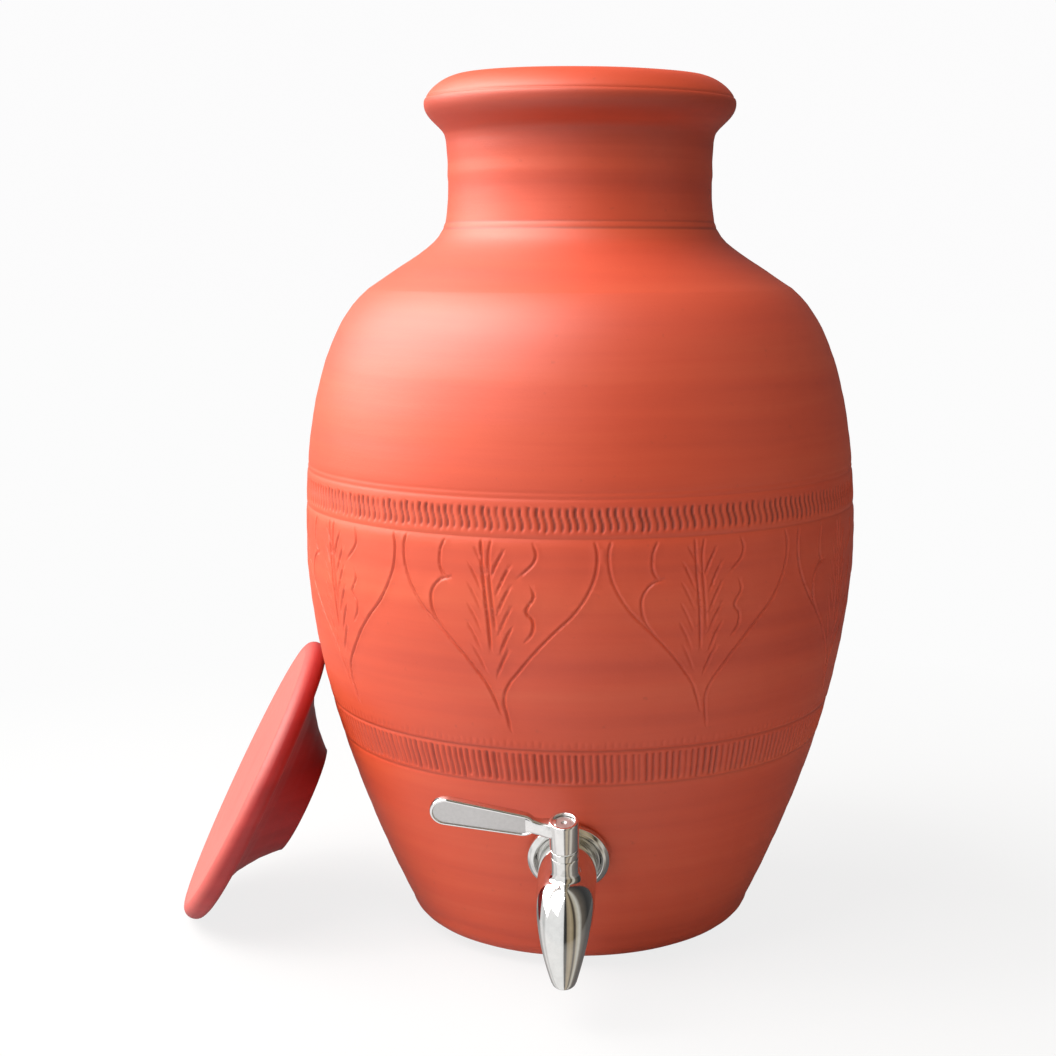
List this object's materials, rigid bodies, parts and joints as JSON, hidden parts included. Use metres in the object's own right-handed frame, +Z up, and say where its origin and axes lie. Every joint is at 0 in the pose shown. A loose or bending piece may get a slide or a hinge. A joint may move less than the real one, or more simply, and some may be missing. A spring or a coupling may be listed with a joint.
{
  "type": "clay water pot",
  "caption": "Terracotta water pot with a turned foot, incised bands, wide lipped neck, a polished spout tap with a quarter-turn lever low on the belly, and a loose clay lid leaning beside it.",
  "frame": {"origin": "centre of the flat that the pot stands on", "axes": "+Z up along the pot's axis; -Y the way the tap points; +X to the viewer's right when the tap faces the viewer"},
  "size_m": [0.326, 0.2819, 0.4],
  "materials": {
    "terracotta": "unglazed fired clay, matt, wheel-turned",
    "polished_steel": "mirror-polished stainless steel",
    "cast_steel": "satin stainless steel with a bright rim",
    "plain_steel": "plain turned stainless steel",
    "rubber": "black food-grade rubber",
    "ptfe": "white sealing plastic"
  },
  "bodies": {
    "vessel": {"pot": "terracotta", "flange_plate": "polished_steel", "outer_gasket": "rubber", "inner_gasket": "rubber", "backing_washer": "plain_steel", "lock_nut": "plain_steel", "inlet_shank": "plain_steel", "tap_body": "polished_steel", "inlet_seat": "ptfe", "outlet_seat": "ptfe", "stem_o_rings": "rubber", "gland_nut": "polished_steel", "thrust_washer": "ptfe"},
    "lever": {"lever": "cast_steel", "lever_screw": "cast_steel", "valve_stem": "plain_steel", "valve_ball": "polished_steel"},
    "lid": {"lid": "terracotta"}
  },
  "joints": [
    {"name": "lever_turn", "type": "hinge", "parent": "vessel", "child": "lever", "pos_m": [0, -0.13761, 0.08123], "axis": [0, -0.3487, 0.9372], "range_deg": [0, 90]},
    {"name": "lid_lift", "type": "slide", "parent": "vessel", "child": "lid", "axis": [-0.8796, -0.1519, 0.4509], "range_m": [0, 0.25]}
  ]
}
